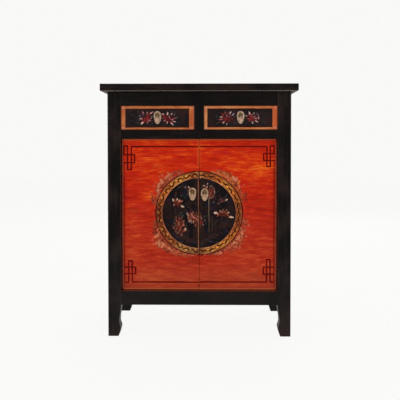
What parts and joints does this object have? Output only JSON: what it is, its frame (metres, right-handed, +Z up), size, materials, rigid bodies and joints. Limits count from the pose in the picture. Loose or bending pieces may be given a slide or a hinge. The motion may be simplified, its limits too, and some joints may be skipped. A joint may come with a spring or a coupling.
{
  "type": "side cabinet",
  "caption": "Standing lacquered cabinet on hoof feet, drawers over double doors on wooden pivots, overhanging framed top, shield-shaped pulls with swinging drops.",
  "frame": {"origin": "centre of the footprint, on the floor the feet stand on", "axes": "+Z up, front (doors and drawers) towards -Y, +X to the right as seen from the front"},
  "size_m": [0.774, 0.42, 1],
  "materials": {
    "black_lacquer": "black lacquer, semi-gloss, worn brown at edges",
    "red_lacquer": "brushed orange-red lacquer with painted ornament",
    "drawer_lacquer": "black lacquer with a painted orange border",
    "bare_wood": "plain unfinished softwood, aged",
    "plate_metal": "pale worn white-brass",
    "pin_metal": "dull brass wire",
    "drop_metal": "pale worn white-brass"
  },
  "bodies": {
    "carcass": {"front_left_post": "black_lacquer", "front_right_post": "black_lacquer", "rear_left_post": "black_lacquer", "rear_right_post": "black_lacquer", "top_front_rail": "black_lacquer", "top_rear_rail": "black_lacquer", "top_left_end": "black_lacquer", "top_right_end": "black_lacquer", "top_panel": "black_lacquer", "top_batten": "bare_wood", "frieze_rail": "black_lacquer", "drawer_divider": "black_lacquer", "middle_rail": "black_lacquer", "bottom_rail": "black_lacquer", "back_top_rail": "black_lacquer", "back_middle_rail": "black_lacquer", "back_bottom_rail": "black_lacquer", "back_upper_panel": "black_lacquer", "back_lower_panel": "black_lacquer", "left_side_top_rail": "black_lacquer", "left_side_bottom_rail": "black_lacquer", "left_side_panel": "black_lacquer", "right_side_top_rail": "black_lacquer", "right_side_bottom_rail": "black_lacquer", "right_side_panel": "black_lacquer", "drawer_runners": "bare_wood", "shelf": "bare_wood", "shelf_bearers": "bare_wood", "floor_board": "bare_wood", "door_stop": "bare_wood", "joint_pegs": "bare_wood"},
    "left_drawer": {"left_drawer_front": "drawer_lacquer", "left_drawer_outer_side": "bare_wood", "left_drawer_inner_side": "bare_wood", "left_drawer_back": "bare_wood", "left_drawer_bottom": "bare_wood", "left_drawer_pull_plate": "plate_metal", "left_drawer_pull_pin": "pin_metal"},
    "left_drawer_drop": {"left_drawer_pull_drop": "drop_metal"},
    "right_drawer": {"right_drawer_front": "drawer_lacquer", "right_drawer_outer_side": "bare_wood", "right_drawer_inner_side": "bare_wood", "right_drawer_back": "bare_wood", "right_drawer_bottom": "bare_wood", "right_drawer_pull_plate": "plate_metal", "right_drawer_pull_pin": "pin_metal"},
    "right_drawer_drop": {"right_drawer_pull_drop": "drop_metal"},
    "left_door": {"left_door_panel": "red_lacquer", "left_door_battens": "bare_wood", "left_door_pivots": "bare_wood", "left_door_pull_plate": "plate_metal", "left_door_pull_pin": "pin_metal"},
    "left_door_drop": {"left_door_pull_drop": "drop_metal"},
    "right_door": {"right_door_panel": "red_lacquer", "right_door_battens": "bare_wood", "right_door_pivots": "bare_wood", "right_door_pull_plate": "plate_metal", "right_door_pull_pin": "pin_metal"},
    "right_door_drop": {"right_door_pull_drop": "drop_metal"}
  },
  "joints": [
    {"name": "left_drawer_slide", "type": "slide", "parent": "carcass", "child": "left_drawer", "axis": [0, -1, 0], "range_m": [0, 0.27]},
    {"name": "left_drawer_drop_swing", "type": "hinge", "parent": "left_drawer", "child": "left_drawer_drop", "pos_m": [-0.1644, -0.1892, 0.8806], "axis": [-1, 0, 0], "range_deg": [-5, 85]},
    {"name": "right_drawer_slide", "type": "slide", "parent": "carcass", "child": "right_drawer", "axis": [0, -1, 0], "range_m": [0, 0.27]},
    {"name": "right_drawer_drop_swing", "type": "hinge", "parent": "right_drawer", "child": "right_drawer_drop", "pos_m": [0.1634, -0.1892, 0.8812], "axis": [-1, 0, 0], "range_deg": [-5, 85]},
    {"name": "left_door_hinge", "type": "hinge", "parent": "carcass", "child": "left_door", "pos_m": [-0.2995, -0.155, 0.4835], "axis": [0, 0, -1], "range_deg": [0, 92]},
    {"name": "left_door_drop_swing", "type": "hinge", "parent": "left_door", "child": "left_door_drop", "pos_m": [-0.027, -0.1722, 0.577], "axis": [-1, 0, 0], "range_deg": [-5, 85]},
    {"name": "right_door_hinge", "type": "hinge", "parent": "carcass", "child": "right_door", "pos_m": [0.2995, -0.155, 0.4835], "axis": [0, 0, 1], "range_deg": [0, 92]},
    {"name": "right_door_drop_swing", "type": "hinge", "parent": "right_door", "child": "right_door_drop", "pos_m": [0.0215, -0.1722, 0.575], "axis": [-1, 0, 0], "range_deg": [-5, 85]}
  ]
}
